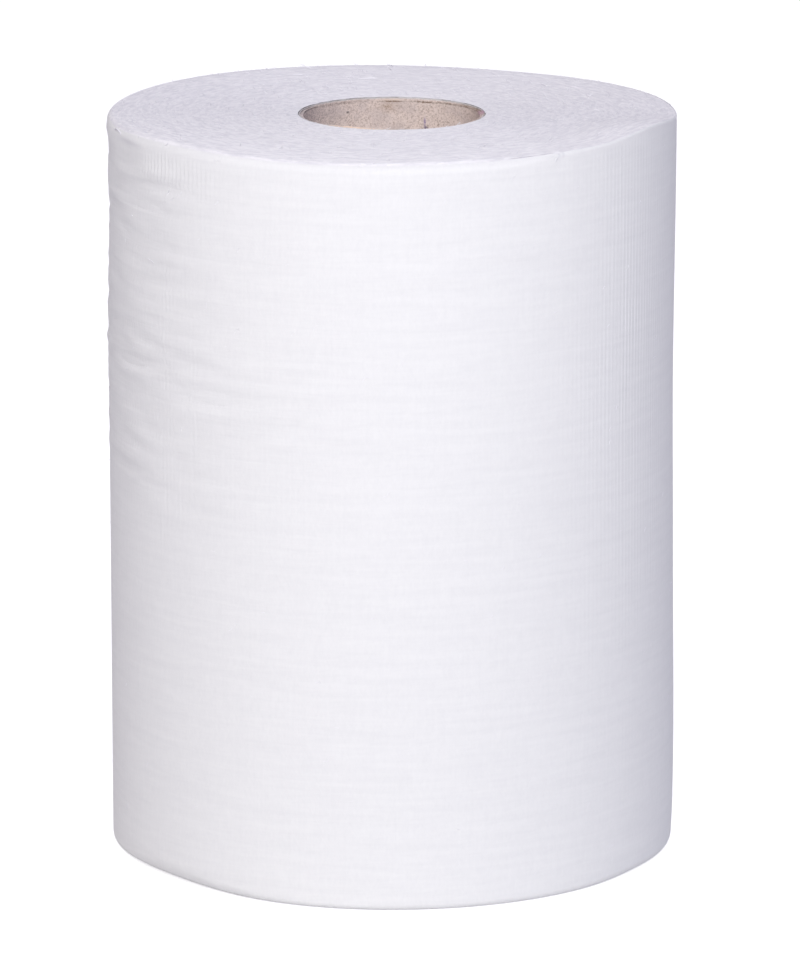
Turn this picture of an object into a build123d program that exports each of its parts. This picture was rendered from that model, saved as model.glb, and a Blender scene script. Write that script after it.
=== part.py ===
from build123d import *
import math
import os

# Nonwoven wipe roll: one long web of soft nonwoven wound on a spiral-wound cardboard core.
# It stands on its end. The origin is the middle of the bottom end, +Z runs up the roll's axis.
# All sizes are in millimetres.

# The wound web
web_width = 322.0               # width of the web, which is the roll's height
roll_diameter = 246.0           # over the outermost turn
web_thickness = 0.35            # one ply as wound, also the step at the loose end
top_rim_chamfer = 1.0           # the top end's crisp edge
bottom_rim_round = 6.0          # softer edge round the end that the roll stands on
bottom_rim_flats = 3            # the rounding is made of this many flats, to stay light
loose_end_angle = 112.0         # where the loose end lies, counted from +X, at the hidden back

# The turns that both ends show: each modelled turn stands for a bundle of plies
plies_in_bundle = 27
crease_width = 1.5              # width of the crease between two bundles, at the end face
crease_depth = 0.7
inner_land = 1.4                # flat ring left between the core and the first crease

# The cardboard core, which the innermost turn is glued to
core_bore = 76.2                # inside diameter
core_wall = 2.1
core_recess = 0.8               # how far each end of the core sits inside the web's end
core_lip = 0.35                 # crushed lip at the cut ends of the core
seam_pitch = 140.0              # rise in one turn of the butt seam in the core's inner ply
seam_width = 0.8                # open width of the seam
seam_depth = 0.3
seam_angle = 215.0              # where the seam starts at the foot, counted from +X

core_outer_radius = core_bore / 2 + core_wall
core_length = web_width - 2 * core_recess
turn_pitch = plies_in_bundle * web_thickness
overrun = 1.0                   # how far a cutter passes the face that it cuts


def spiral_halves(growth):
    """Centre, start angle and added radius of the two half turns that grow by growth in one turn."""
    return [(-growth / 4, 0, -growth / 4), (growth / 4, 180, growth / 4)]


def half_turn(section, centre, start_angle):
    """Turns an upright section through half a circle, and puts it on its own centre."""
    return Pos(centre, 0, 0) * Rot(0, 0, start_angle) * revolve(Plane.XZ * section, Axis.Z, 180)


def bottom_rim_point(radius, turned):
    """Point on the rounding of the bottom rim, turned degrees up from the end face."""
    return (
        radius - bottom_rim_round * (1 - math.sin(math.radians(turned))),
        bottom_rim_round * (1 - math.cos(math.radians(turned))),
    )


def web_section(radius):
    """Upright half section of the wound web with both rims eased."""
    bottom_rim = [bottom_rim_point(radius, 90 * flat / bottom_rim_flats) for flat in range(bottom_rim_flats + 1)]
    top_rim = [(radius, web_width - top_rim_chamfer), (radius - top_rim_chamfer, web_width)]
    return make_face(Polyline((0, 0), *bottom_rim, *top_rim, (0, web_width), close=True))


def wound_body():
    """The web as wound, with the step that its loose end makes."""
    body = Part()
    for centre, start_angle, added in spiral_halves(web_thickness):
        body += half_turn(web_section(roll_diameter / 2 + added), centre, start_angle)
    return body - Cylinder(core_outer_radius, web_width, align=(Align.CENTER, Align.CENTER, Align.MIN))


def crease_radii(added):
    """Radii of the creases of one half turn, from the core out to the rounded rim."""
    first = core_outer_radius + inner_land + crease_width / 2 + turn_pitch / 2
    last = roll_diameter / 2 - max(top_rim_chamfer, bottom_rim_round) - crease_width / 2 - turn_pitch / 2
    count = int((last - first) / turn_pitch) + 1
    return [first + number * turn_pitch + added for number in range(count)]


def crease_section(radii, face, inward):
    """Upright section of a row of V creases, which open past the end face."""
    half_width = crease_width / 2 * (crease_depth + overrun) / crease_depth
    notches = Sketch()
    for radius in radii:
        tip = (radius, face + inward * crease_depth)
        mouth = face - inward * overrun
        notches += make_face(Polyline(tip, (radius + half_width, mouth), (radius - half_width, mouth), close=True))
    return notches


def end_creases(face, inward):
    """The spiral crease of one end, as two half turns that meet."""
    return [
        half_turn(crease_section(crease_radii(added), face, inward), centre, start_angle)
        for centre, start_angle, added in spiral_halves(turn_pitch)
    ]


def wound_web():
    """The whole web as one solid."""
    web = wound_body()
    web -= end_creases(0, 1) + end_creases(web_width, -1)
    return Rot(0, 0, loose_end_angle) * web


def butt_seam():
    """Cutter for the open seam that winds up the core's inner ply, run past both ends of the core."""
    spare = seam_width + seam_depth + overrun
    path = Helix(seam_pitch, core_length + 2 * spare, core_bore / 2)
    across = Plane(origin=path @ 0, x_dir=(1, 0, 0), z_dir=path % 0)
    wedge = Polyline((seam_depth, 0), (-seam_depth, seam_width), (-seam_depth, -seam_width), close=True)
    return Pos(0, 0, -spare) * sweep(across * make_face(wedge), path, is_frenet=True)


def cardboard_core():
    """The tube that the web is wound on."""
    standing = (Align.CENTER, Align.CENTER, Align.MIN)
    bore = Cylinder(core_bore / 2, core_length, align=standing)
    tube = Cylinder(core_outer_radius, core_length, align=standing) - bore
    rings = tube.edges().filter_by(GeomType.CIRCLE).sort_by(SortBy.RADIUS)
    tube = chamfer(rings[:2], core_lip)
    return Pos(0, 0, core_recess) * (tube - Rot(0, 0, seam_angle) * butt_seam())


os.makedirs("parts", exist_ok=True)
export_step(wound_web(), "parts/wound_web.step")
export_step(cardboard_core(), "parts/cardboard_core.step")
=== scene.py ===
import math
import bmesh
import bpy
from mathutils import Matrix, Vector, noise


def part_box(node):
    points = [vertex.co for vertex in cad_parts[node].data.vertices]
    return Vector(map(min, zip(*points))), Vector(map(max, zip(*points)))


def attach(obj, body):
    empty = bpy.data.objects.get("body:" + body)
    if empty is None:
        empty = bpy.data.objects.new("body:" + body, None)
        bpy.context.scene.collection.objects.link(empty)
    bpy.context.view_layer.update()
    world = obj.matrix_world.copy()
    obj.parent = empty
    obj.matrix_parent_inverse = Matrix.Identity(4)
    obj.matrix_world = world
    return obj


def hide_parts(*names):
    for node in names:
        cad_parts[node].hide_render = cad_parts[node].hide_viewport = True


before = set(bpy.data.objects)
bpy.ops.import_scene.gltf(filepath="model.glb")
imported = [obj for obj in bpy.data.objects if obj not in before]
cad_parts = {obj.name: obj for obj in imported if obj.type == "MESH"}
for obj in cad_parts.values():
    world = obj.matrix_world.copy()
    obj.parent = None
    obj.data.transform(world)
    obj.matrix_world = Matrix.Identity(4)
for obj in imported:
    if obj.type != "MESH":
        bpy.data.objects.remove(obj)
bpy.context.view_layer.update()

mm = 0.001
webLow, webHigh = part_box("wound_web")
coreLow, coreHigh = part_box("cardboard_core")
rollHeight = webHigh[2]
rollRadius = (webHigh[0] - webLow[0]) / 2
coreRadius = (coreHigh[0] - coreLow[0]) / 2
plyThickness = 0.35 * mm             # one turn of the web as wound
print("frame loaded, roll", round(2 * rollRadius, 4), "m across and", round(rollHeight, 4), "m tall")


# Small helpers for node trees

def addNode(tree, kind, feeds=None, **settings):
    node = tree.nodes.new(kind)
    for name, value in settings.items():
        setattr(node, name, value)
    for key, value in (feeds or {}).items():
        if isinstance(value, bpy.types.NodeSocket):
            tree.links.new(value, node.inputs[key])
        else:
            node.inputs[key].default_value = value
    return node


def calc(tree, operation, *values):
    return addNode(tree, "ShaderNodeMath", dict(enumerate(values)), operation=operation).outputs[0]


def chain(tree, operation, values):
    result = values[0]
    for value in values[1:]:
        result = calc(tree, operation, result, value)
    return result


def plus(tree, *values):
    return chain(tree, "ADD", values)


def times(tree, *values):
    return chain(tree, "MULTIPLY", values)


def minus(tree, first, second):
    return calc(tree, "SUBTRACT", first, second)


def over(tree, first, second):
    return calc(tree, "DIVIDE", first, second)


def joinXyz(tree, x, y, z=0.0):
    return addNode(tree, "ShaderNodeCombineXYZ", {0: x, 1: y, 2: z}).outputs[0]


def splitXyz(tree, vector):
    return addNode(tree, "ShaderNodeSeparateXYZ", {0: vector}).outputs


def fromAxis(tree, x, y):
    return calc(tree, "SQRT", plus(tree, times(tree, x, x), times(tree, y, y)))


def scaled(tree, way, length):
    return addNode(tree, "ShaderNodeVectorMath", {0: way, "Scale": length}, operation="SCALE").outputs[0]


def turnedOnZ(tree, vector, angle):
    feeds = {"Vector": vector, "Angle": angle}
    return addNode(tree, "ShaderNodeVectorRotate", feeds, rotation_type="Z_AXIS").outputs[0]


def noiseAt(tree, vector, scale, detail=2.0, roughness=0.5, distortion=0.0):
    feeds = {"Vector": vector, "Scale": scale, "Detail": detail, "Roughness": roughness}
    return addNode(tree, "ShaderNodeTexNoise", {**feeds, "Distortion": distortion}).outputs[0]


def turnNoise(tree, facing, level, around, detail, roughness):
    # noise drawn out along the turns, where around is its scale round the roll
    at = joinXyz(tree, *(times(tree, part, around) for part in facing), level)
    return noiseAt(tree, at, 1.0, detail, roughness)


def remap(tree, value, low, high, toLow=0.0, toHigh=1.0, smooth=False):
    kind = "SMOOTHSTEP" if smooth else "LINEAR"
    feeds = {"Value": value, "From Min": low, "From Max": high, "To Min": toLow, "To Max": toHigh}
    return addNode(tree, "ShaderNodeMapRange", feeds, interpolation_type=kind, clamp=True).outputs[0]


def mixColour(tree, share, first, second):
    node = addNode(tree, "ShaderNodeMix", data_type="RGBA", blend_type="MIX")
    for socket, value in ((node.inputs[0], share), (node.inputs[6], first), (node.inputs[7], second)):
        if isinstance(value, bpy.types.NodeSocket):
            tree.links.new(value, socket)
        else:
            socket.default_value = value if isinstance(value, float) else (*value, 1.0)
    return node.outputs[2]


def addObject(name, data):
    added = bpy.data.objects.new(name, data)
    bpy.context.scene.collection.objects.link(added)
    return added


def addMesh(name, points, faces, material=None):
    mesh = bpy.data.meshes.new(name)
    mesh.from_pydata(points, [], faces)
    if material:
        mesh.materials.append(material)
    return mesh


# Uneven places of the roll: each is strongest at its angle, and fades round the roll and up it

def nearness(angle, place):
    spread = math.radians(place["wide"]) ** 2 / 2
    return math.exp((math.cos(angle - math.radians(place["angle"])) - 1) / spread)


def roundTheRoll(angle, level, places):
    return (level + sum(place["push"] * nearness(angle, place) for place in places)) * mm


def nearnessNodes(tree, angle, place, height=None):
    spread = math.radians(place["wide"]) ** 2 / 2
    turned = calc(tree, "COSINE", minus(tree, angle, math.radians(place["angle"])))
    fall = over(tree, minus(tree, turned, 1.0), spread)
    if height is not None:
        apart = over(tree, minus(tree, height, place["height"] * mm), place["tall"] * mm)
        fall = minus(tree, fall, calc(tree, "POWER", calc(tree, "ABSOLUTE", apart), 2.0))
    return calc(tree, "EXPONENT", fall)


def placesNodes(tree, angle, level, places, height=None, unit=mm):
    pushes = [
        times(tree, nearnessNodes(tree, angle, place, height), place["push"] * unit) for place in places]
    return plus(tree, *pushes, level * unit)


rims = {                             # mm, and degrees from +X
    "topRise": (0.0, [
        {"angle": 140, "wide": 32, "push": 1.0},
        {"angle": 65, "wide": 24, "push": -0.8},
        {"angle": 16, "wide": 12, "push": 0.3},
        {"angle": -26, "wide": 17, "push": 4.2},
        {"angle": -52, "wide": 9, "push": 0.9},
        {"angle": -80, "wide": 26, "push": 0.7},
        {"angle": -100, "wide": 26, "push": -0.8},
        {"angle": -140, "wide": 26, "push": 1.0},
    ]),
    "topRound": (1.1, [
        {"angle": -76, "wide": 22, "push": 3.6},
        {"angle": -120, "wide": 30, "push": 3.2},
        {"angle": -158, "wide": 22, "push": 2.8},
        {"angle": 150, "wide": 24, "push": 0.7},
    ]),
    "footRound": (3.0, [
        {"angle": -142, "wide": 20, "push": 6.2},
        {"angle": -30, "wide": 12, "push": 1.8},
    ]),
    "crown": (0.15, [                # how much higher the end face lies than its rim
        {"angle": -95, "wide": 38, "push": 0.8},
        {"angle": -165, "wide": 30, "push": 0.9},
    ]),
}
riseFades = (45, 4)                  # mm in from the rim: where its rise has faded, and where it is whole
crownFades = (80, 22)                # and so for the crown
crownFalls = 17                      # mm, how wide the crown's fall to the rim is

rippleZones = [                      # where the web ripples round the roll
    {"angle": 205, "height": 235, "wide": 26, "tall": 38, "push": 1.0},
    {"angle": 212, "height": 180, "wide": 24, "tall": 22, "push": 0.6},
    {"angle": 203, "height": 290, "wide": 22, "tall": 15, "push": 0.9},
    {"angle": 205, "height": 307, "wide": 24, "tall": 9, "push": 0.9},
    {"angle": 238, "height": 215, "wide": 24, "tall": 35, "push": 0.3},
    {"angle": 290, "height": 278, "wide": 22, "tall": 12, "push": 0.35},
]
ribZones = [                         # where the ribs along the width of the web stand out
    {"angle": -28, "height": 230, "wide": 26, "tall": 150, "push": 2.0},
    {"angle": -146, "height": 225, "wide": 20, "tall": 100, "push": 2.6},
]


# Geometry node trees

def newTree(name, inputs):
    tree = bpy.data.node_groups.new(name, "GeometryNodeTree")
    tree.interface.new_socket("Geometry", in_out="INPUT", socket_type="NodeSocketGeometry")
    for label, value in inputs.items():
        kind = "NodeSocketInt" if isinstance(value, int) else "NodeSocketFloat"
        tree.interface.new_socket(label, in_out="INPUT", socket_type=kind).default_value = value
    tree.interface.new_socket("Geometry", in_out="OUTPUT", socket_type="NodeSocketGeometry")
    return tree, tree.nodes.new("NodeGroupInput").outputs


def ownPlace(tree):
    return tree.nodes.new("GeometryNodeInputPosition").outputs[0]


def readAttribute(tree, name, kind):
    return addNode(tree, "GeometryNodeInputNamedAttribute", {"Name": name}, data_type=kind).outputs[0]


def moved(tree, geometry, offset):
    return addNode(tree, "GeometryNodeSetPosition", {"Geometry": geometry, "Offset": offset}).outputs[0]


def welded(tree, geometry):
    feeds = {"Geometry": geometry, "Distance": 0.002 * mm}
    return addNode(tree, "GeometryNodeMergeByDistance", feeds).outputs[0]


def finishTree(tree, geometry, material):
    # every tree ends in real, painted faces
    realized = addNode(tree, "GeometryNodeRealizeInstances", {0: geometry}).outputs[0]
    feeds = {"Geometry": realized, "Material": material}
    painted = addNode(tree, "GeometryNodeSetMaterial", feeds).outputs[0]
    tree.links.new(painted, tree.nodes.new("NodeGroupOutput").inputs[0])
    return tree


def runTree(name, tree, values, source=None):
    # runs a tree on a new piece, and keeps its result as a plain mesh
    piece = addObject(name, source or bpy.data.meshes.new(name))
    modifier = piece.modifiers.new(name, "NODES")
    modifier.node_group = tree
    for item in tree.interface.items_tree:
        if item.in_out == "INPUT" and item.name in values:
            modifier[item.identifier] = values[item.name]
    made = piece.evaluated_get(bpy.context.evaluated_depsgraph_get())
    mesh = bpy.data.meshes.new_from_object(made)
    piece.modifiers.clear()
    painted = [material for material in mesh.materials if material]
    mesh.materials.clear()
    mesh.materials.append(painted[0])
    mesh.polygons.foreach_set("material_index", [0] * len(mesh.polygons))
    piece.data = mesh
    mesh.name = name
    return piece


def closeHoles(piece):
    # fills the open ends of a shell
    shell = bmesh.new()
    shell.from_mesh(piece.data)
    bmesh.ops.holes_fill(shell, edges=[edge for edge in shell.edges if edge.is_boundary], sides=0)
    bmesh.ops.triangulate(shell, faces=[face for face in shell.faces if len(face.verts) > 4])
    openEdges = sum(1 for edge in shell.edges if not edge.is_manifold)
    triangles = sum(len(face.verts) - 2 for face in shell.faces)
    shell.to_mesh(piece.data)
    shell.free()
    print(piece.name, "has", triangles, "triangles and", openEdges, "open edges")


# Materials

def newMaterial(name, constants):
    material = bpy.data.materials.new(name)
    material.use_nodes = True
    shader = material.node_tree.nodes["Principled BSDF"]
    for key, value in constants.items():
        shader.inputs[key].default_value = value
    return material, material.node_tree, shader


def newGroup(name, inputs, outputs):
    group = bpy.data.node_groups.new(name, "ShaderNodeTree")
    group.interface.new_socket("Vector", in_out="INPUT", socket_type="NodeSocketVector")
    for label, value in inputs.items():
        group.interface.new_socket(label, in_out="INPUT", socket_type="NodeSocketFloat").default_value = value
    for label in outputs:
        group.interface.new_socket(label, in_out="OUTPUT", socket_type="NodeSocketFloat")
    return group, group.nodes.new("NodeGroupInput").outputs


def finishGroup(group, values):
    for socket, value in zip(group.nodes.new("NodeGroupOutput").inputs, values):
        group.links.new(value, socket)
    return group


def placeGroup(tree, group, feeds):
    return addNode(tree, "ShaderNodeGroup", feeds, node_tree=group).outputs


def objectPlace(tree):
    return addNode(tree, "ShaderNodeTexCoord").outputs["Object"]


def normalTilt(tree):
    # 1 where a face looks up, 0 where it stands upright
    return splitXyz(tree, addNode(tree, "ShaderNodeNewGeometry").outputs["Normal"])[2]


def addRelief(tree, height, depth, strength, under=None):
    feeds = {"Height": height, "Distance": depth * mm, "Strength": strength}
    if under is not None:
        feeds["Normal"] = under
    return addNode(tree, "ShaderNodeBump", feeds).outputs[0]


fibreWays = (0.35, -0.5, 1.45)       # radians, the three ways that most fibres lie


def makeFibreGrain():
    # short crossed fibres, as laid in a nonwoven or a greyboard: a mask about 0.5
    sizes = {"Fibres Per Metre": 900.0, "Length": 5.0, "Contrast": 1.0}
    group, given = newGroup("fibreGrain", sizes, ["Grain"])
    layers = []
    for way in fibreWays:
        x, y, z = splitXyz(group, turnedOnZ(group, given["Vector"], way))
        stretched = joinXyz(group, x, over(group, y, given["Length"]), z)
        layers.append(noiseAt(group, stretched, given["Fibres Per Metre"], 2.0, 0.6, 0.6))
    mean = over(group, plus(group, *layers), float(len(layers)))
    spread = times(group, minus(group, mean, 0.5), given["Contrast"])
    return finishGroup(group, [plus(group, spread, 0.5)])


endLook = {
    "white": (0.98, 0.965, 0.974),
    "gap": (0.83, 0.82, 0.845),      # painted shade in the valleys between plies
    # painted highlight for plies that stand proud and catch the light, and the painted light in front
    "highlightWhite": (0.999, 0.99, 0.992),
    "coreShade": (0.34, 0.32, 0.31),      # painted shade on the upright walls of the turns beside the core
    "coreShadeWithin": 45,                # mm from the axis
    "palerAtCore": (60, 42),         # mm from the axis, where the turns start to look paler and are palest
    "paintedLightInFront": -90,             # mm along Y towards the front, where the painted light is strongest
    "palerShare": 0.8,
    "fuzzDepth": 0.12,               # mm
    "strokes": [                     # scale round the roll and across the plies, shift of the noise, share
        (15.0, 0.2, 0.0, 0.5),
        (34.0, 0.6, 20.0, 0.2),
        (6.0, 0.1, 40.0, 0.15),
    ],
    "fuzz": {"Fibres Per Metre": 800.0, "Length": 3.0, "Contrast": 1.4},
    "fuzzShare": 0.15,
    "highlightStrokes": (26.0, 0.22, 90.0, 1.0),   # painted highlights on proud plies: as the strokes, with the noise's detail at the end
    "shader": {"Roughness": 0.95, "Specular IOR Level": 0.2},
}


def makeTurnEnds(fibreGrain):
    # cut ends of the plies, laid along the turns: how far they are sunk (for painted shade), painted
    # highlights where plies catch the light, where the turns look paler (painted light towards the front,
    # and paler near the core), and their fuzz
    group, given = newGroup("turnEnds", {"Ply": plyThickness}, ["Sunk", "Tufts", "Paler", "Fuzz"])
    x, y, _ = splitXyz(group, given["Vector"])
    radius = fromAxis(group, x, y)
    facing = [over(group, part, radius) for part in (x, y)]
    ply = over(group, radius, given["Ply"])

    def strokes(around, across, shift, detail=2.0):
        level = plus(group, times(group, ply, across), shift)
        return turnNoise(group, facing, level, around, detail, 0.55)

    fuzz = placeGroup(group, fibreGrain, {"Vector": given["Vector"], **endLook["fuzz"]})[0]
    layers = [times(group, strokes(*scales), share) for *scales, share in endLook["strokes"]]
    layers.append(times(group, fuzz, endLook["fuzzShare"]))
    # painted shade where the ply ends lie sunk below their neighbours
    sunk = remap(group, plus(group, *layers), 0.6, 0.4)
    highlightStrokes = remap(group, strokes(*endLook["highlightStrokes"]), 0.6, 0.68)
    start, palest = endLook["palerAtCore"]
    atCore = remap(group, radius, start * mm, palest * mm, 0.0, endLook["palerShare"], True)
    # painted light: the turns lighter towards the front, where the key light falls
    litFront = remap(group, y, 0.0, endLook["paintedLightInFront"] * mm, 0.0, endLook["palerShare"])
    return finishGroup(group, [sunk, highlightStrokes, calc(group, "MAXIMUM", atCore, litFront), fuzz])


def endColour(tree, turnEnds, place):
    # painted light in front, painted shade in the valleys and painted highlights on proud plies
    ends = placeGroup(tree, turnEnds, {"Vector": place})
    white = mixColour(tree, ends["Paler"], endLook["white"], endLook["highlightWhite"])
    plain = mixColour(tree, ends["Sunk"], white, endLook["gap"])
    return mixColour(tree, ends["Tufts"], plain, endLook["highlightWhite"]), ends["Fuzz"]


def makeEndMaterial(turnEnds):
    material, tree, shader = newMaterial("nonwovenEnds", endLook["shader"])
    place = objectPlace(tree)
    colour, fuzz = endColour(tree, turnEnds, place)
    x, y, _ = splitXyz(tree, place)
    # painted shade: upright faces of the turns near the core darkened, ragged along the line
    atCore = calc(tree, "LESS_THAN", fromAxis(tree, x, y), endLook["coreShadeWithin"] * mm)
    upright = remap(tree, calc(tree, "ABSOLUTE", normalTilt(tree)), 0.6, 0.2)
    ragged = remap(tree, noiseAt(tree, place, 160.0), 0.35, 0.6, 0.35, 1.0)
    shadedAtCore = times(tree, atCore, upright, ragged)
    tree.links.new(mixColour(tree, shadedAtCore, colour, endLook["coreShade"]), shader.inputs["Base Color"])
    tree.links.new(addRelief(tree, fuzz, endLook["fuzzDepth"], 0.7), shader.inputs["Normal"])
    return material


# painted shade for the creases at the nick
creaseShade = (0.62, 0.62, 0.66)
sideLook = {
    "white": (0.885, 0.885, 0.872),
    "thin": (0.84, 0.84, 0.832),     # where the web is thin and the turn below shows through
    "grain": {"Fibres Per Metre": 700.0, "Length": 6.0, "Contrast": 1.6},
    "ribs": (900.0, 40.0, 2.0),      # per metre along the web and up the roll, and detail
    "ripples": (22.0, 300.0, 3.0, 0.3),   # the same, and distortion
    "grainDepth": 0.06,              # mm
    "ribDepth": 0.05,                # mm
    "rippleDepth": 0.3,              # mm
    "marks": [                       # painted shade in the creases at the nick and under the fold at the left rim: degrees from +X, heights in mm
        {"angle": -55, "height": 322.3, "wide": 0.35, "tall": 1.3, "push": 0.45, "colour": creaseShade},
        {"angle": -54, "height": 322.3, "wide": 0.35, "tall": 1.3, "push": 0.35, "colour": creaseShade},
        {"angle": -156.5, "height": 318.6, "wide": 5, "tall": 1.4, "push": 0.3, "colour": (0.60, 0.58, 0.63)},
    ],
    "shader": {"Roughness": 0.92, "Specular IOR Level": 0.25, "Sheen Weight": 0.08, "Sheen Roughness": 0.5},
}


def makeSideMaterial(fibreGrain, turnEnds):
    material, tree, shader = newMaterial("nonwovenSide", sideLook["shader"])
    flat = addNode(tree, "ShaderNodeUVMap", uv_map="webUV").outputs[0]   # metres along the web and up it
    along, up, _ = splitXyz(tree, flat)
    grain = placeGroup(tree, fibreGrain, {"Vector": flat, **sideLook["grain"]})[0]

    def streaks(alongScale, upScale, detail, distortion=0.0):
        at = joinXyz(tree, times(tree, along, alongScale), times(tree, up, upScale))
        return noiseAt(tree, at, 1.0, detail, 0.55, distortion)

    lines = streaks(*sideLook["ribs"])
    ripple = streaks(*sideLook["ripples"])
    layers = [times(tree, value, share) for value, share in ((grain, 0.4), (lines, 0.2), (ripple, 0.4))]
    dim = remap(tree, plus(tree, *layers), 0.62, 0.36)
    side = mixColour(tree, dim, sideLook["white"], sideLook["thin"])
    place = objectPlace(tree)
    x, y, height = splitXyz(tree, place)
    angle = calc(tree, "ARCTAN2", y, x)
    # painted shade of the nick's creases and of the fold under the left rim
    for mark in sideLook["marks"]:
        shade = times(tree, nearnessNodes(tree, angle, mark, height), mark["push"])
        side = mixColour(tree, shade, side, mark["colour"])
    # upward faces of the rim take the ends' colour, with its painted light, shade and highlights
    ends, _ = endColour(tree, turnEnds, place)
    upward = remap(tree, normalTilt(tree), 0.7, 0.98, smooth=True)
    tree.links.new(mixColour(tree, upward, side, ends), shader.inputs["Base Color"])
    ripple = times(tree, ripple, placesNodes(tree, angle, 0.22, rippleZones, height, 1.0))
    lines = times(tree, lines, placesNodes(tree, angle, 0.4, ribZones, height, 1.0))
    normal = None
    for relief, depth in ((ripple, "rippleDepth"), (lines, "ribDepth"), (grain, "grainDepth")):
        normal = addRelief(tree, relief, sideLook[depth], 0.8, normal)
    tree.links.new(normal, shader.inputs["Normal"])
    return material


# painted shadow under the torn edges of the core's plies
tornShade = (0.25, 0.18, 0.13)
boardLook = {
    "pale": (0.90, 0.78, 0.71),
    "dark": (0.44, 0.34, 0.28),
    "shade": (0.62, 0.54, 0.52),     # wide greyer patches
    "liner": (0.66, 0.655, 0.64),    # the outermost ply of the board
    "linerFrom": 39.42,              # mm from the axis
    "pulp": {"Fibres Per Metre": 1400.0, "Length": 1.5, "Contrast": 2.6},
    "pulpDepth": 0.12,               # mm
    "marks": [                       # degrees from +X, heights in mm: stains and ink, and painted shade
        # painted shade: the tube's inside darker towards its left and its right
        {"angle": 172, "height": 312, "wide": 36, "tall": 60, "push": 0.7, "colour": (0.44, 0.38, 0.38)},
        {"angle": -4, "height": 312, "wide": 22, "tall": 60, "push": 0.7, "colour": (0.44, 0.33, 0.29)},
        {"angle": 68, "height": 320.4, "wide": 8, "tall": 0.34, "push": 1.1, "colour": tornShade},
        {"angle": 50, "height": 320.75, "wide": 10, "tall": 0.34, "push": 1.1, "colour": tornShade},
        {"angle": 32, "height": 321, "wide": 10, "tall": 0.34, "push": 1.1, "colour": tornShade},
        {"angle": 16, "height": 321.1, "wide": 10, "tall": 0.34, "push": 1.1, "colour": tornShade},
        {"angle": -112, "height": 322.4, "wide": 26, "tall": 0.8, "push": 1.2, "colour": (0.93, 0.73, 0.58)},
        {"angle": 162, "height": 321, "wide": 14, "tall": 0.3, "push": 1.0, "colour": (0.16, 0.14, 0.13)},
        {"angle": 126, "height": 320.7, "wide": 20, "tall": 0.6, "push": 0.7, "colour": (0.38, 0.30, 0.26)},
        {"angle": 90, "height": 320.85, "wide": 8, "tall": 0.35, "push": 1.0, "colour": (0.93, 0.78, 0.66)},
        {"angle": 90, "height": 320.28, "wide": 7, "tall": 0.3, "push": 1.2, "colour": tornShade},
        {"angle": 67.8, "height": 311.6, "wide": 0.7, "tall": 1.7, "push": 0.9, "colour": (0.20, 0.12, 0.36)},
        {"angle": 67.2, "height": 309.2, "wide": 1.2, "tall": 0.6, "push": 1.2, "colour": (0.07, 0.04, 0.14)},
        {"angle": 120, "height": 316.4, "wide": 0.9, "tall": 0.45, "push": 1.0, "colour": (0.12, 0.10, 0.10)},
        {"angle": 92.5, "height": 318, "wide": 7, "tall": 2.4, "push": 0.45, "colour": (0.45, 0.31, 0.21)},
        {"angle": 7, "height": 321.3, "wide": 6, "tall": 1.4, "push": 0.6, "colour": (0.62, 0.36, 0.50)},
    ],
    "shader": {"Roughness": 0.85, "Specular IOR Level": 0.3},
}


def makeBoardMaterial(fibreGrain):
    material, tree, shader = newMaterial("greyBoard", boardLook["shader"])
    place = objectPlace(tree)
    x, y, height = splitXyz(tree, place)
    angle = calc(tree, "ARCTAN2", y, x)
    pulp = placeGroup(tree, fibreGrain, {"Vector": place, **boardLook["pulp"]})[0]
    patches = remap(tree, noiseAt(tree, place, 70.0, 3.0, 0.6), 0.5, 0.75, 0.0, 0.7)
    linerFrom = boardLook["linerFrom"] * mm
    outermost = remap(tree, fromAxis(tree, x, y), linerFrom, linerFrom + 0.1 * mm)
    colour = mixColour(tree, remap(tree, pulp, 0.6, 0.1), boardLook["pale"], boardLook["dark"])
    colour = mixColour(tree, patches, colour, boardLook["shade"])
    colour = mixColour(tree, outermost, colour, boardLook["liner"])
    grainy = remap(tree, pulp, 0.65, 0.3, 0.55, 1.3)   # stains and painted shade alike take better to some fibres than to others
    for mark in boardLook["marks"]:
        stainAndShade = times(tree, nearnessNodes(tree, angle, mark, height), mark["push"], grainy)
        colour = mixColour(tree, calc(tree, "MINIMUM", stainAndShade, 1.0), colour, mark["colour"])
    tree.links.new(colour, shader.inputs["Base Color"])
    tree.links.new(addRelief(tree, pulp, boardLook["pulpDepth"], 0.7), shader.inputs["Normal"])
    return material


fibreLook = {
    "white": (0.96, 0.95, 0.97),
    "grey": (0.90, 0.885, 0.92),
    "shader": {"Roughness": 0.8},
}


def makeFibreMaterial():
    material, tree, shader = newMaterial("looseFibre", fibreLook["shader"])
    colour = mixColour(tree, noiseAt(tree, objectPlace(tree), 300.0), fibreLook["white"], fibreLook["grey"])
    tree.links.new(colour, shader.inputs["Base Color"])
    return material


fibreGrain = makeFibreGrain()
turnEnds = makeTurnEnds(fibreGrain)
sideMaterial = makeSideMaterial(fibreGrain, turnEnds)
endMaterial = makeEndMaterial(turnEnds)
boardMaterial = makeBoardMaterial(fibreGrain)
fibreMaterial = makeFibreMaterial()
print("materials made")


# The wound turns: one closed body whose two ends show every ply of the spiral

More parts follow.
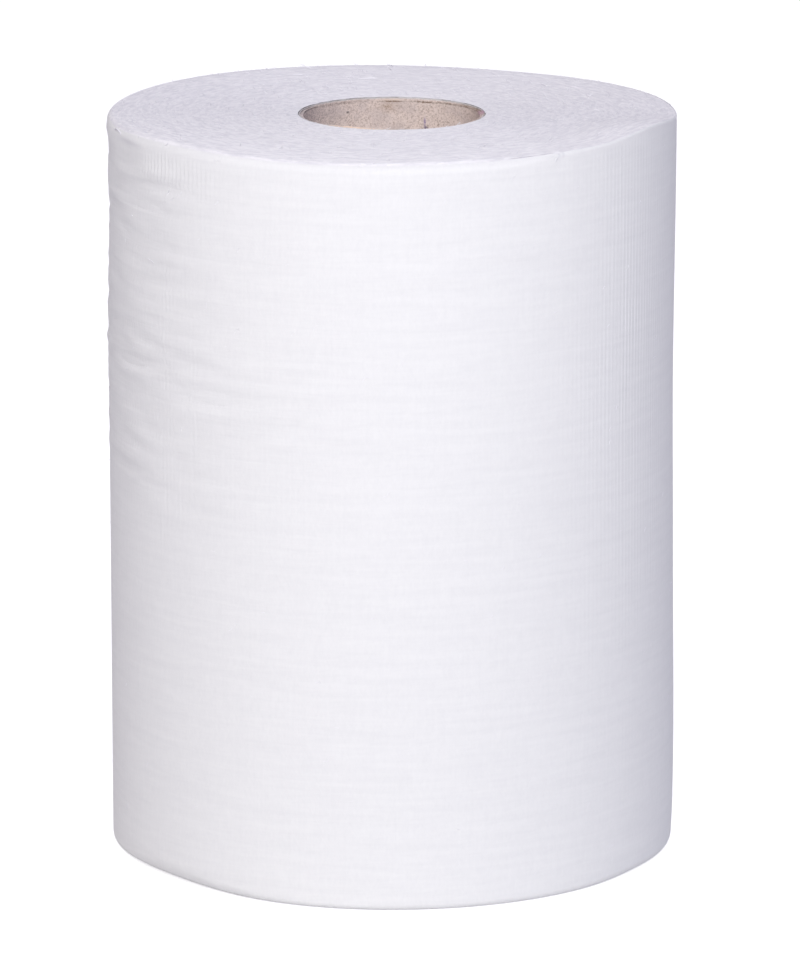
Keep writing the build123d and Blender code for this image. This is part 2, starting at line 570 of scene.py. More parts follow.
windings = {
    "Ply Thickness": plyThickness,
    "Inner Radius": coreRadius + 0.03 * mm,
    "Roll Radius": rollRadius,
    "Turns": 234,
    "Steps Per Turn": 104,
    "Height": rollHeight,
    "Ply Scatter": 0.15 * mm,        # how unevenly single plies stand out of the end
    "Bundle Scatter": 0.25 * mm,     # how unevenly whole bundles do
    "Ply Rounding": 0.025 * mm,
    "Under The Web": 0.42 * mm,      # how far the rims lie inside the outer turn's
}
wallLift = 12 * mm                   # height of the walls beside both ends
wallBack = 1.5 * mm                  # how far the hidden wall between those steps back
outerWall = 20 * mm                  # a wall nearer to the rim than this steps inwards, the other outwards
belowRim = 0.1 * mm                  # how far the plies stay below the outer turn's edge
plyWaves = (16.0, 0.9)               # scale of the noise round the roll and across the plies
bundleWaves = (3.0, 0.09)
topSeed, footSeed = 11.0, 47.0


def makeWindingsTree():
    tree, given = newTree("turnsOfTheRoll", windings)
    rows = plus(tree, times(tree, given["Turns"], 2.0), 1.0)
    columns = plus(tree, given["Steps Per Turn"], 1.0)
    grid = addNode(tree, "GeometryNodeMeshGrid", {
        "Size X": 1.0, "Size Y": 1.0, "Vertices X": columns, "Vertices Y": rows}).outputs[0]
    x, y, _ = splitXyz(tree, ownPlace(tree))
    turnShare = plus(tree, x, 0.5)
    across = times(tree, plus(tree, y, 0.5), given["Turns"])
    kept = addNode(tree, "GeometryNodeCaptureAttribute", {"Geometry": grid})
    sources = {"ply": plus(tree, across, turnShare), "crest": calc(tree, "PINGPONG", across, 0.5)}
    for number, (name, value) in enumerate(sources.items()):
        kept.capture_items.new("FLOAT", name)
        tree.links.new(value, kept.inputs[1 + number])
    ply, crest = kept.outputs[1], kept.outputs[2]   # crest: 0 between plies, 0.5 on the middle of one
    radius = plus(tree, given["Inner Radius"], times(tree, ply, given["Ply Thickness"]))
    turned = times(tree, turnShare, 2 * math.pi)
    spiral = joinXyz(tree, *(times(tree, radius, calc(tree, way, turned)) for way in ("COSINE", "SINE")))
    rolled = addNode(tree, "GeometryNodeSetPosition", {"Geometry": kept.outputs[0], "Position": spiral})
    flat = welded(tree, rolled.outputs[0])

    # the flat spiral is raised in three lifts, so that the hidden wall can step back between its rims
    body, foot = addNode(tree, "GeometryNodeFlipFaces", {"Mesh": flat}).outputs[0], flat
    upward = joinXyz(tree, 0.0, 0.0, 1.0)
    for lift in (wallLift, minus(tree, given["Height"], 2 * wallLift), wallLift):
        body = addNode(tree, "GeometryNodeExtrudeMesh", {
            "Mesh": body, "Offset": upward, "Offset Scale": lift, "Individual": False}).outputs[0]
    joined = tree.nodes.new("GeometryNodeJoinGeometry")
    for part in (foot, body):
        tree.links.new(part, joined.inputs[0])
    whole = welded(tree, joined.outputs[0])

    x, y, height = splitXyz(tree, ownPlace(tree))
    facing = [over(tree, part, radius) for part in (x, y)]
    angle = calc(tree, "ARCTAN2", y, x)
    isTop = calc(tree, "GREATER_THAN", height, minus(tree, given["Height"], 1 * mm))
    isFoot = calc(tree, "LESS_THAN", height, 1 * mm)
    toRim = minus(tree, given["Roll Radius"], radius)

    def unevenness(around, acrossPlies, shift, detail=1.0):
        level = plus(tree, times(tree, ply, acrossPlies), shift)
        return minus(tree, turnNoise(tree, facing, level, around, detail, 0.5), 0.5)

    def endRelief(seed):
        # plies, bundles and the valleys between plies, in metres above the end face
        single = times(tree, unevenness(*plyWaves, seed), given["Ply Scatter"])
        bundles = times(tree, unevenness(*bundleWaves, seed + 3.0, 3.0), given["Bundle Scatter"])
        valley = times(tree, minus(tree, 0.5, crest), times(tree, given["Ply Rounding"], 2.0))
        relief = minus(tree, plus(tree, single, bundles), valley)
        return times(tree, relief, remap(tree, toRim, 1 * mm, 8 * mm, 0.25, 1.0))   # calmer at the rim

    def arc(rounding):
        # how far a ply ends inside the end face, so that the rim is round
        past = plus(tree, minus(tree, rounding, toRim), given["Under The Web"])
        past = calc(tree, "MAXIMUM", past, 0.0)
        left = minus(tree, calc(tree, "POWER", rounding, 2.0), calc(tree, "POWER", past, 2.0))
        return minus(tree, rounding, calc(tree, "SQRT", calc(tree, "MAXIMUM", left, 0.0)))

    def nearRim(faded, whole):
        return remap(tree, toRim, faded * mm, whole * mm, 0.0, 1.0, True)

    rise = times(tree, placesNodes(tree, angle, *rims["topRise"]), nearRim(*riseFades))
    falling = calc(tree, "POWER", remap(tree, toRim, crownFalls * mm, 0.0), 2.0)
    crown = times(tree, placesNodes(tree, angle, *rims["crown"]), nearRim(*crownFades))
    crown = times(tree, crown, minus(tree, 1.0, falling))
    topDrop = arc(placesNodes(tree, angle, *rims["topRound"]))
    footLift = arc(placesNodes(tree, angle, *rims["footRound"]))
    top = plus(tree, rise, crown, times(tree, topDrop, -1.0), endRelief(topSeed), -belowRim)
    bottom = minus(tree, footLift, calc(tree, "MINIMUM", endRelief(footSeed), 0.0))
    inWall = minus(tree, 1.0, plus(tree, isTop, isFoot))
    outward = minus(tree, times(tree, calc(tree, "GREATER_THAN", toRim, outerWall), 2.0), 1.0)
    back = times(tree, inWall, outward, wallBack)
    lifted = plus(tree, times(tree, top, isTop), times(tree, bottom, isFoot))
    shift = joinXyz(tree, *(times(tree, part, back) for part in facing), lifted)
    return finishTree(tree, moved(tree, whole, shift), endMaterial)


windingsPiece = runTree("woundTurns", makeWindingsTree(), windings)
closeHoles(windingsPiece)
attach(windingsPiece, "root")
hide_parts("wound_web")


# The outermost turn: from its loose end at the back once round the roll, and a little under itself

outerTurn = {
    "Roll Radius": rollRadius,
    "Thickness": 0.32 * mm,
    "Ribs": 320,
    "Rib Height": 0.045 * mm,
    "Height": rollHeight,
    "Loose End": 112.0,              # degrees from +X
    "Overlap": 9.0,                  # degrees
    "Ripple Height": 2.3 * mm,
}
columnsPerRib = 3
innerStride = 3                      # the hidden inside has one column for so many outside
footTurns = (68, 50, 32, 15)         # degrees round the foot's arc, from the side
rimTurns = (12, 24, 36, 48, 60, 74)  # and round the top rim's
thinsFrom = 36                       # degrees round the rim's arc, where the web starts to thin to its edge
thinnedBy = 0.7                      # share of its thickness that is gone at the edge
sideBumps = [                        # slow unevenness of the side, mm
    {"angle": 0, "height": 212, "wide": 60, "tall": 62, "push": -0.75},
    {"angle": 0, "height": 45, "wide": 60, "tall": 52, "push": 0.8},
    {"angle": 182, "height": 286, "wide": 35, "tall": 24, "push": -0.75},
    {"angle": 182, "height": 205, "wide": 50, "tall": 35, "push": 0.25},
    {"angle": 184, "height": 316.8, "wide": 24, "tall": 2.6, "push": 0.35},
    {"angle": 184, "height": 310.8, "wide": 22, "tall": 3.2, "push": -0.8},
    {"angle": -156, "height": 316.6, "wide": 5.5, "tall": 1.7, "push": -1.1},
    {"angle": -54.5, "height": 319.8, "wide": 1.8, "tall": 2.2, "push": -0.45},
]
strongRibs = {                       # under the left rim, where they stop at a ragged line
    "angle": -143, "height": 311, "wide": 15, "tall": 8, "push": 4.0, "endsAt": 317.5, "ragged": 8,
}
nick = {"angle": -55.1, "wide": 0.45, "push": -1.6}
jag = {"deep": 0.12, "scale": 70}    # mm and per radian: the cut edge is a little jagged
webNoise = {                         # per metre round the roll and up it, and detail
    "ribPatches": (160.0, 14.0, 2.0),
    "ribEnds": (420.0, 0.0, 1.0),
    "folds": (20.0, 200.0, 1.0),
}


def stepsBetween(low, high, count):
    return [low + (high - low) * step / count for step in range(count)]


shoulderFrom = 306                   # mm, above this the rows follow the rim
wallHeights = stepsBetween(14, 120, 6) + stepsBetween(120, 170, 8) + stepsBetween(170, shoulderFrom, 58)
shoulderShares = (0, 0.3, 0.55, 0.8)   # rows between the last of those and the rim's arc
insideHeights = [305, 296, 284, 272, 258, 244, 228, 212, 195, 175, 150, 125, 100, 70, 40, 14]


def sheetPoint(angle, grown, kind, value, inside):
    # a point of the web's section at one angle: place, height along the web, and the way that it faces
    thickness = outerTurn["Thickness"] if inside else 0.0
    if kind == "rim" and value > thinsFrom:
        thickness *= 1 - thinnedBy * (value - thinsFrom) / (rimTurns[-1] - thinsFrom)
    topRound = roundTheRoll(angle, *rims["topRound"])
    footRound = roundTheRoll(angle, *rims["footRound"])
    top = rollHeight + roundTheRoll(angle, *rims["topRise"])
    turned = math.radians(value)
    if kind == "foot":
        radius = grown - footRound + (footRound - thickness) * math.cos(turned)
        height = footRound - (footRound - thickness) * math.sin(turned)
        return radius, height, footRound * (1 - turned), -math.sin(turned)
    if kind == "rim":
        radius = grown - topRound + (topRound - thickness) * math.cos(turned)
        height = top - topRound + (topRound - thickness) * math.sin(turned)
        if value == rimTurns[-1]:
            height += nick["push"] * mm * nearness(angle, nick)
            height += jag["deep"] * mm * noise.noise(Vector((angle * jag["scale"], 0, 3)))
        return radius, height, top - topRound * (1 - turned), math.sin(turned)
    low = shoulderFrom * mm
    height = value * mm if kind == "wall" else low + (top - topRound - low) * value
    return grown - thickness, height, height, 0.0


def makeOuterTurn():
    # the bare sheet: its ribs and ripples come from the node tree
    columns = columnsPerRib * outerTurn["Ribs"]
    outside = [("foot", value) for value in footTurns] + [("foot", 0)]
    outside += [("wall", value) for value in wallHeights]
    outside += [("shoulder", value) for value in shoulderShares]
    outside += [("rim", 0)] + [("rim", value) for value in rimTurns]
    inside = [("rim", value) for value in (rimTurns[-1], 48, 24, 0)]
    inside += [("wall", value) for value in insideHeights]
    inside += [("foot", value) for value in (0, 32, footTurns[0])]
    start = math.radians(outerTurn["Loose End"] - outerTurn["Overlap"])
    sweep = math.radians(360 + outerTurn["Overlap"])
    points, flats, facing, isOutside = [], [], [], []

    def addRow(kind, value, hidden, stride):
        first = len(points)
        for column in range(0, columns + 1, stride):
            angle = start + sweep * column / columns
            # the radius grows by the thickness, and a little air, in one turn
            grown = rollRadius + outerTurn["Thickness"] * 1.1 * ((angle - start) / (2 * math.pi) - 1)
            radius, height, along, tilt = sheetPoint(angle, grown, kind, value, hidden)
            points.append((radius * math.cos(angle), radius * math.sin(angle), height))
            flats.append((angle * rollRadius, along))
            level = math.sqrt(1 - tilt * tilt)
            facing.append((level * math.cos(angle), level * math.sin(angle), tilt))
            isOutside.append(0.0 if hidden else 1.0)
        return list(range(first, len(points)))

    outer = [addRow(kind, value, False, 1) for kind, value in outside]
    inner = [addRow(kind, value, True, innerStride) for kind, value in inside]
    faces = []
    for rows in (outer, inner):
        for low, high in zip(rows, rows[1:]):
            faces += [(low[i], low[i + 1], high[i + 1], high[i]) for i in range(len(low) - 1)]
    for fine, coarse, top in ((outer[-1], inner[0], True), (outer[0], inner[-1], False)):
        for cell in range(len(coarse) - 1):
            begin, end = cell * innerStride, (cell + 1) * innerStride
            middle = begin + innerStride // 2
            fan = [(coarse[cell], fine[i], fine[i + 1]) for i in range(begin, middle + 1)]
            fan += [(coarse[cell + 1], fine[i], fine[i + 1]) for i in range(middle + 1, end)]
            fan.append((coarse[cell], fine[middle + 1], coarse[cell + 1]))
            faces += fan if top else [face[::-1] for face in fan]
    mesh = addMesh("outerTurn", points, faces)
    flat = mesh.uv_layers.new(name="webUV")
    for loop in mesh.loops:
        flat.data[loop.index].uv = flats[loop.vertex_index]
    ways = mesh.attributes.new("facing", "FLOAT_VECTOR", "POINT")
    ways.data.foreach_set("vector", [part for way in facing for part in way])
    mesh.attributes.new("isOutside", "FLOAT", "POINT").data.foreach_set("value", isOutside)
    return mesh


def makeOuterTree():
    tree, given = newTree("ribsAndRipples", outerTurn)
    x, y, height = splitXyz(tree, ownPlace(tree))
    facing = readAttribute(tree, "facing", "FLOAT_VECTOR")
    isOutside = readAttribute(tree, "isOutside", "FLOAT")
    front = math.radians(outerTurn["Loose End"]) - math.pi
    east, north, _ = splitXyz(tree, turnedOnZ(tree, joinXyz(tree, x, y), -front))
    fromFront = calc(tree, "ARCTAN2", north, east)   # jumps at the loose end, out of sight
    angle = plus(tree, fromFront, front)
    around = times(tree, angle, given["Roll Radius"])

    def noiseOf(name):
        aroundScale, upScale, detail = webNoise[name]
        at = joinXyz(tree, times(tree, around, aroundScale), 0.0, times(tree, height, upScale))
        return noiseAt(tree, at, 1.0, detail)

    sweep = times(tree, plus(tree, given["Overlap"], 360.0), math.pi / 180)
    ribTurn = times(tree, over(tree, fromFront, sweep), times(tree, given["Ribs"], 2 * math.pi))
    wave = calc(tree, "COSINE", ribTurn)
    patches = remap(tree, noiseOf("ribPatches"), 0.25, 0.75, 0.1, 1.4)
    strength = times(tree, patches, placesNodes(tree, angle, 0.35, ribZones, height, 1.0))
    lowest = strongRibs["endsAt"] - strongRibs["ragged"] / 2
    ending = plus(tree, lowest * mm, times(tree, noiseOf("ribEnds"), strongRibs["ragged"] * mm))
    stopped = remap(tree, minus(tree, ending, height), 0.0, 0.8 * mm)
    strong = times(tree, nearnessNodes(tree, angle, strongRibs, height), stopped, strongRibs["push"])
    upright = minus(tree, 1.0, splitXyz(tree, facing)[2])   # ribs die out over the rim
    ribs = times(tree, wave, plus(tree, strength, strong), given["Rib Height"], upright)
    aboveFoot = remap(tree, height, 4 * mm, 16 * mm, 0.0, 1.0, True)   # nothing goes under the foot
    slow = times(tree, placesNodes(tree, angle, 0.0, sideBumps, height), aboveFoot)
    zone = placesNodes(tree, angle, 0.0, rippleZones, height, 1.0)
    folds = remap(tree, noiseOf("folds"), 0.3, 0.75, -0.4, 0.6)
    ripples = times(tree, folds, zone, given["Ripple Height"])
    fineRelief = times(tree, plus(tree, ribs, ripples), isOutside)
    shaped = moved(tree, given["Geometry"], scaled(tree, facing, plus(tree, slow, fineRelief)))
    smooth = addNode(tree, "GeometryNodeSetShadeSmooth", {"Geometry": shaped}).outputs[0]
    return finishTree(tree, smooth, sideMaterial)


outerPiece = runTree("outerTurn", makeOuterTree(), outerTurn, makeOuterTurn())
closeHoles(outerPiece)
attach(outerPiece, "root")

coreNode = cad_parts["cardboard_core"]
coreNode.data.materials.clear()
coreNode.data.materials.append(boardMaterial)


# The core's cut ends: torn rims of its outermost and innermost plies of board

tornPlies = {
    "columns": 240,
    "sunk": 0.4,                     # mm, how deep the bands sit in the core's end
    "lowest": -0.3,                  # mm, the deepest that a torn edge goes below the core's end
    "bands": [                       # mm from the axis, and above the core's end
        {"inner": 39.5, "outer": 40.15, "rise": 0.42, "uneven": 0.35, "shift": 0.0, "torn": False},
        {"inner": 38.14, "outer": 38.95, "rise": 0.12, "uneven": 0.5, "shift": 9.0, "torn": True},
    ],
    "tearDepth": 0.35,               # mm
    "tears": [                       # degrees, where the inner band is torn away
        {"angle": 24, "wide": 34},
        {"angle": 62, "wide": 5},
        {"angle": 200, "wide": 12},
    ],
    "proud": {"angle": -114, "wide": 26, "push": 0.8},   # where the outer band stands out of the roll
}


def tornBand(band, face, outward, points, faces):
    first, columns = len(points), tornPlies["columns"]
    for column in range(columns):
        angle = 2 * math.pi * column / columns
        east, north = math.cos(angle), math.sin(angle)
        rough = noise.noise(Vector((east * 14, north * 14, band["shift"])))
        fine = noise.noise(Vector((east * 45, north * 45, band["shift"] + 5)))
        rise = band["rise"] + band["uneven"] * (0.6 * rough + 0.4 * fine)
        if band["torn"]:
            torn = max(nearness(angle, tear) for tear in tornPlies["tears"])
            rise -= tornPlies["tearDepth"] * min(1.0, 1.6 * torn)
        elif outward > 0:
            rise += tornPlies["proud"]["push"] * nearness(angle, tornPlies["proud"])
        inner = band["inner"] + 0.08 * fine
        outer = band["outer"] - 0.12 * abs(rough)
        low = face - outward * tornPlies["sunk"]
        high = face + outward * max(rise, tornPlies["lowest"])
        for radius, height in ((inner, low), (outer, low), (outer, high), (inner, high)):
            points.append((radius * mm * east, radius * mm * north, height * mm))
    for column in range(columns):
        here, following = first + 4 * column, first + 4 * ((column + 1) % columns)
        for corner in range(4):
            beside = (corner + 1) % 4
            wall = (here + corner, here + beside, following + beside, following + corner)
            faces.append(wall[::-1] if outward > 0 else wall)


def makeTornPlies():
    points, faces = [], []
    for band in tornPlies["bands"]:
        tornBand(band, coreHigh[2] / mm, 1, points, faces)
        tornBand(band, coreLow[2] / mm, -1, points, faces)
    return addObject("tornPlies", addMesh("tornPlies", points, faces, boardMaterial))


tornPiece = makeTornPlies()
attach(tornPiece, "root")
print("tornPlies has", 2 * len(tornPiece.data.polygons), "triangles")


# Loose fibres: short hairs and tufts that lie on the ends, the rims and the side

fibres = {
    "On The Ends": 17000.0,          # per square metre
    "On The Rims": 12000.0,
    "On The Side": 1500.0,
    "Shortest": 1.2 * mm,
    "Longest": 4.6 * mm,
    "Thinnest": 0.03 * mm,           # radius
    "Thickest": 0.21 * mm,
    "Stands Off": 0.22 * mm,
    "Seed": 7,
}
fibrePoints = 5
fibreTilts = {"end": 0.75, "rimFrom": 0.15, "rimTo": 0.97, "side": 0.3}   # how far up a face looks there
fibreTurn = 0.6                      # radians: a fibre turns off the run of the web by two draws within this
fibreBend = 1.4                      # how far off its line a fibre's tips may bend, against its length


def makeFibresTree():
    tree, given = newTree("looseFibres", fibres)

    def vector(operation, *values):
        return addNode(tree, "ShaderNodeVectorMath", dict(enumerate(values)), operation=operation).outputs[0]

    def higher(value, level):
        return calc(tree, "GREATER_THAN", value, level)

    def lower(value, level):
        return calc(tree, "LESS_THAN", value, level)

    _, _, tilt = splitXyz(tree, tree.nodes.new("GeometryNodeInputNormal").outputs[0])
    _, _, height = splitXyz(tree, ownPlace(tree))
    onTop = higher(height, 150 * mm)
    onEnds = times(tree, higher(tilt, fibreTilts["end"]), given["On The Ends"], onTop)
    steepness = calc(tree, "ABSOLUTE", tilt)
    onSide = times(tree, lower(steepness, fibreTilts["side"]), given["On The Side"])
    atRim = times(tree, higher(tilt, fibreTilts["rimFrom"]), lower(tilt, fibreTilts["rimTo"]))
    onRim = times(tree, atRim, onTop, given["On The Rims"])
    density = calc(tree, "MAXIMUM", plus(tree, onEnds, onSide), onRim)
    strewn = addNode(tree, "GeometryNodeDistributePointsOnFaces", {
        "Mesh": given["Geometry"], "Density": density, "Seed": given["Seed"]}).outputs
    stored = addNode(tree, "GeometryNodeStoreNamedAttribute", {
        "Geometry": strewn["Points"], "Name": "standing", "Value": strewn["Normal"],
    }, data_type="FLOAT_VECTOR", domain="POINT").outputs[0]
    line = addNode(tree, "GeometryNodeCurvePrimitiveLine", {"End": (0.0, 0.0, 1.0)}).outputs[0]
    even = addNode(tree, "GeometryNodeResampleCurve", {"Curve": line, "Count": fibrePoints}).outputs[0]
    placed = addNode(tree, "GeometryNodeInstanceOnPoints", {
        "Points": stored, "Instance": even, "Scale": (0.001, 0.001, 0.001)}).outputs[0]
    hairs = addNode(tree, "GeometryNodeRealizeInstances", {0: placed}).outputs[0]

    # every hair is laid down from its own number
    hair = tree.nodes.new("GeometryNodeCurveOfPoint").outputs["Curve Index"]

    def chance(low, high, shift):
        seed = plus(tree, given["Seed"], float(shift))
        feeds = {2: low, 3: high, "Seed": seed, "ID": hair}
        return addNode(tree, "FunctionNodeRandomValue", feeds, data_type="FLOAT").outputs[1]

    step = over(tree, tree.nodes.new("GeometryNodeSplineParameter").outputs["Index"], fibrePoints - 1.0)
    fromMiddle = minus(tree, step, 0.5)
    standing = readAttribute(tree, "standing", "FLOAT_VECTOR")
    x, y, _ = splitXyz(tree, ownPlace(tree))
    ringWay = vector("NORMALIZE", joinXyz(tree, times(tree, y, -1.0), x))
    across = vector("CROSS_PRODUCT", standing, ringWay)
    heading = plus(tree, chance(-fibreTurn, fibreTurn, 1), chance(-fibreTurn, fibreTurn, 2))
    ahead = scaled(tree, ringWay, calc(tree, "COSINE", heading))
    along = vector("ADD", ahead, scaled(tree, across, calc(tree, "SINE", heading)))
    aside = vector("CROSS_PRODUCT", standing, along)
    length = times(tree, chance(0.0, 1.0, 3), chance(0.0, 1.0, 4))
    length = remap(tree, length, 0.0, 1.0, given["Shortest"], given["Longest"])
    bend = times(tree, fromMiddle, fromMiddle, chance(-fibreBend, fibreBend, 5), length)
    lift = times(tree, step, step, chance(0.0, 1.0, 6), given["Stands Off"])
    offset = vector("ADD", scaled(tree, along, times(tree, fromMiddle, length)), scaled(tree, aside, bend))
    flung = moved(tree, hairs, vector("ADD", offset, scaled(tree, standing, lift)))
    thick = times(tree, chance(0.0, 1.0, 8), chance(0.0, 1.0, 9))
    thick = remap(tree, thick, 0.0, 1.0, given["Thinnest"], given["Thickest"])
    section = {"Resolution": 3, "Radius": 1.0}
    section = addNode(tree, "GeometryNodeCurvePrimitiveCircle", section, mode="RADIUS").outputs[0]
    tubes = addNode(tree, "GeometryNodeCurveToMesh", {
        "Curve": flung, "Profile Curve": section, "Scale": thick, "Fill Caps": True}).outputs[0]
    return finishTree(tree, tubes, fibreMaterial)


def joinedCopy(pieces):
    # what the fibres are strewn over
    shell = bmesh.new()
    for piece in pieces:
        shell.from_mesh(piece.data)
    mesh = bpy.data.meshes.new("strewnOver")
    shell.to_mesh(mesh)
    shell.free()
    return mesh


fibrePiece = runTree("looseFibres", makeFibresTree(), fibres, joinedCopy([windingsPiece, outerPiece]))
print("looseFibres has", sum(len(face.vertices) - 2 for face in fibrePiece.data.polygons), "triangles")
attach(fibrePiece, "root")


# Wisps: the larger bits of lint, each a thin bent roll of fibres that lies on an end or on the side

wisps = {
    "rings": 9,
    "sides": 5,
    "waver": 0.25,                   # mm
    "tapered": 0.8,                  # share of the thickness that is gone at both tips
    "raised": 0.6,                   # how far a wisp lies above the web, in its own thickness
    "onTheEnd": [                    # mm from the axis, degrees from +X and from the way that the turns run
        {"radius": 103, "angle": 38, "heading": 4, "length": 15, "sag": 1.2, "thick": 0.30},
        {"radius": 87, "angle": 97, "heading": -3, "length": 9, "sag": 0.6, "thick": 0.24},
        {"radius": 103, "angle": 114, "heading": 6, "length": 6, "sag": 0.3, "thick": 0.24},
        {"radius": 68, "angle": 124, "heading": -20, "length": 5, "sag": 0.5, "thick": 0.22},
        {"radius": 75, "angle": -123, "heading": -28, "length": 10, "sag": 0.6, "thick": 0.22},
        {"radius": 66, "angle": -111, "heading": 25, "length": 4, "sag": 1.4, "thick": 0.20},
        {"radius": 90, "angle": 59, "heading": 2, "length": 5, "sag": 0.2, "thick": 0.22},
        {"radius": 89, "angle": 4, "heading": -50, "length": 3, "sag": 0.5, "thick": 0.24},
    ],
    "onTheSide": [                   # height and inset in mm
        {"height": 321.4, "angle": -163, "inset": 0.9, "heading": 0, "length": 15, "sag": 2.6, "thick": 0.38},
        {"height": 320.5, "angle": -56, "inset": 0.1, "heading": 55, "length": 3, "sag": 0.3, "thick": 0.18},
        {"height": 271, "angle": -146, "inset": 0, "heading": -12, "length": 6, "sag": 0.3, "thick": 0.14},
    ],
}


def endHeight(radius, angle):
    # the end face with the rim's rise, which fades as it does on the plies
    faded, whole = riseFades
    share = min(1.0, max(0.0, (faded - (rollRadius - radius) / mm) / (faded - whole)))
    return rollHeight + roundTheRoll(angle, *rims["topRise"]) * share * share * (3 - 2 * share)


def addWisp(wisp, points, faces):
    rings, sides = wisps["rings"], wisps["sides"]
    angle, turned = math.radians(wisp["angle"]), math.radians(wisp["heading"])
    upward = Vector((0, 0, 1))
    outward = Vector((math.cos(angle), math.sin(angle), 0))
    around = Vector((-math.sin(angle), math.cos(angle), 0))
    onEnd = "radius" in wisp
    standing, across = (upward, outward) if onEnd else (outward, upward)
    along = around * math.cos(turned) + across * math.sin(turned)
    aside = across * math.cos(turned) - around * math.sin(turned)
    radius = wisp["radius"] * mm if onEnd else rollRadius - wisp["inset"] * mm
    middle = outward * radius + upward * (endHeight(radius, angle) if onEnd else wisp["height"] * mm)
    first = len(points)
    for ring in range(rings):
        share = 2 * ring / (rings - 1) - 1
        drift = noise.noise(Vector((share * 2.5, wisp["angle"], 1))) * wisps["waver"]
        ahead = share * wisp["length"] / 2
        centre = middle + along * ahead * mm + aside * (drift - wisp["sag"] * share ** 2) * mm
        if not onEnd:                # follows the round side
            flat = Vector((centre.x, centre.y, 0)).normalized() * radius
            centre = Vector((flat.x, flat.y, centre.z))
        thick = wisp["thick"] * mm * (1 - wisps["tapered"] * share ** 2)
        for side in range(sides):
            turn = 2 * math.pi * side / sides
            offset = aside * math.cos(turn) + standing * (wisps["raised"] + math.sin(turn))
            points.append(centre + offset * thick)
    for ring in range(rings - 1):
        for side in range(sides):
            low, following = first + ring * sides + side, first + ring * sides + (side + 1) % sides
            faces.append((low, low + sides, following + sides, following))
    last = first + (rings - 1) * sides
    faces.append(tuple(range(first, first + sides)))
    faces.append(tuple(range(last + sides - 1, last - 1, -1)))


def makeWisps():
    points, faces = [], []
    for wisp in wisps["onTheEnd"] + wisps["onTheSide"]:
        addWisp(wisp, points, faces)
    mesh = addMesh("wisps", points, faces, fibreMaterial)
    mesh.polygons.foreach_set("use_smooth", [True] * len(mesh.polygons))
    shell = bmesh.new()
    shell.from_mesh(mesh)
    bmesh.ops.recalc_face_normals(shell, faces=shell.faces)
    shell.to_mesh(mesh)
    shell.free()
    return addObject("wisps", mesh)


wispPiece = makeWisps()
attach(wispPiece, "root")
print("wisps laid on")


# Floor, light and camera

stageSizes = {                       # metres, watts, and colours without units
    "floor": 12.0,
    "floorTone": (0.86, 0.86, 0.86, 1.0),
    "floorGlow": 0.68,
    "gap": 0.0002,                   # between the floor and the roll
    "worldLevel": 0.35,
    "worldLeft": (1.02, 0.915, 0.98),
    "worldRight": (0.94, 0.965, 1.33),
    "keyPower": 78.0,
    "keySize": 2.4,
    "keyPlace": (-0.13, -2.6, 2.25),
    "keyAim": (0, 0, 0.16),
}


def makeFloor():
    half, low = stageSizes["floor"] / 2, -stageSizes["gap"]
    corners = [(x * half, y * half, low) for x, y in ((-1, -1), (1, -1), (1, 1), (-1, 1))]
    material, tree, shader = newMaterial("paleFloor", {
        "Base Color": stageSizes["floorTone"], "Roughness": 1.0, "Specular IOR Level": 0.0,
        "Emission Color": (1, 1, 1, 1)})
    path = addNode(tree, "ShaderNodeLightPath").outputs
    glow = times(tree, path["Is Camera Ray"], stageSizes["floorGlow"])
    tree.links.new(glow, shader.inputs["Emission Strength"])
    # from below the floor can be seen through, and it lets light reach the end that stands on it
    underneath = addNode(tree, "ShaderNodeNewGeometry").outputs["Backfacing"]
    closeBy = calc(tree, "LESS_THAN", path["Ray Length"], 3 * stageSizes["gap"])
    unseen = minus(tree, 1.0, path["Is Camera Ray"])
    through = calc(tree, "MAXIMUM", underneath, times(tree, closeBy, unseen))
    clear = tree.nodes.new("ShaderNodeBsdfTransparent").outputs[0]
    both = addNode(tree, "ShaderNodeMixShader", {0: through, 1: shader.outputs[0], 2: clear}).outputs[0]
    tree.links.new(both, tree.nodes["Material Output"].inputs["Surface"])
    addObject("floor", addMesh("floor", corners, [(0, 1, 2, 3)], material))


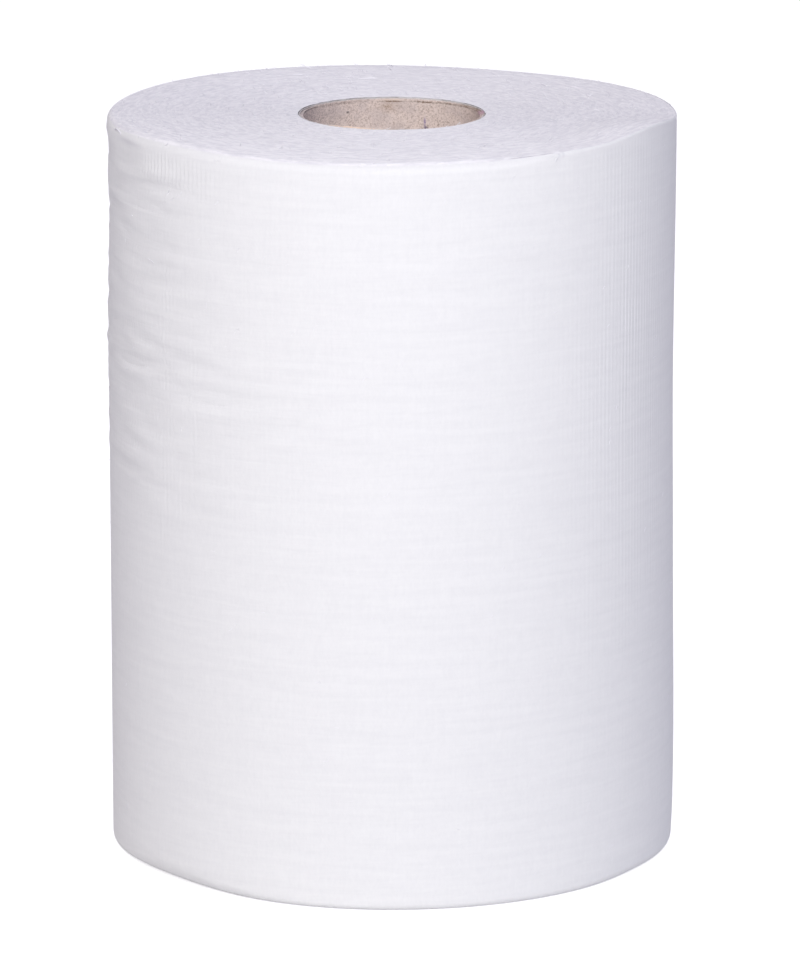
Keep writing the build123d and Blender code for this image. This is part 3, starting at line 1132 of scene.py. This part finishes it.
def makeWorld():
    world = bpy.data.worlds.new("whiteRoom")
    bpy.context.scene.world = world
    world.use_nodes = True
    tree = world.node_tree
    path = addNode(tree, "ShaderNodeLightPath").outputs
    seen = plus(tree, *(path[name] for name in ("Is Camera Ray", "Is Glossy Ray", "Is Transmission Ray")))
    seen = calc(tree, "MINIMUM", seen, 1.0)
    way = addNode(tree, "ShaderNodeTexCoord").outputs["Generated"]
    toRight = remap(tree, splitXyz(tree, way)[0], -1.0, 1.0)
    tint = mixColour(tree, toRight, stageSizes["worldLeft"], stageSizes["worldRight"])
    level = remap(tree, seen, 0.0, 1.0, stageSizes["worldLevel"], 1.0)
    tree.links.new(mixColour(tree, seen, tint, (1.0, 1.0, 1.0)), tree.nodes["Background"].inputs[0])
    tree.links.new(level, tree.nodes["Background"].inputs[1])


def makeKey():
    key = bpy.data.lights.new("softFront", "AREA")
    key.shape = "DISK"
    key.size = stageSizes["keySize"]
    key.energy = stageSizes["keyPower"]
    lamp = addObject("softFront", key)
    lamp.location = stageSizes["keyPlace"]
    aim = Vector(stageSizes["keyAim"]) - lamp.location
    lamp.rotation_euler = aim.to_track_quat("-Z", "Y").to_euler()


cameraPlace = {                      # metres, degrees and pixels of the picture
    "distance": 3.0812,
    "height": 0.87405,
    "pitch": 13.079,
    "focalPixels": 7255.4,
    "picture": (800, 966),
    "rollMiddle": 391.55,
    "sensor": 36.0,                  # mm
}


def makeCamera():
    width, height = cameraPlace["picture"]
    camera = bpy.data.cameras.new("camera")
    camera.sensor_width = cameraPlace["sensor"]
    camera.lens = cameraPlace["focalPixels"] / height * camera.sensor_width
    camera.clip_end = 50.0
    offMiddle = (width / 2 - cameraPlace["rollMiddle"]) / cameraPlace["focalPixels"]
    looker = addObject("camera", camera)
    looker.location = (
        offMiddle * cameraPlace["distance"], -cameraPlace["distance"], cameraPlace["height"])
    looker.rotation_euler = (math.radians(90 - cameraPlace["pitch"]), 0, 0)
    bpy.context.scene.camera = looker
    bpy.context.scene.view_settings.view_transform = "Standard"


makeFloor()
makeWorld()
makeKey()
makeCamera()
print("stage and camera made")
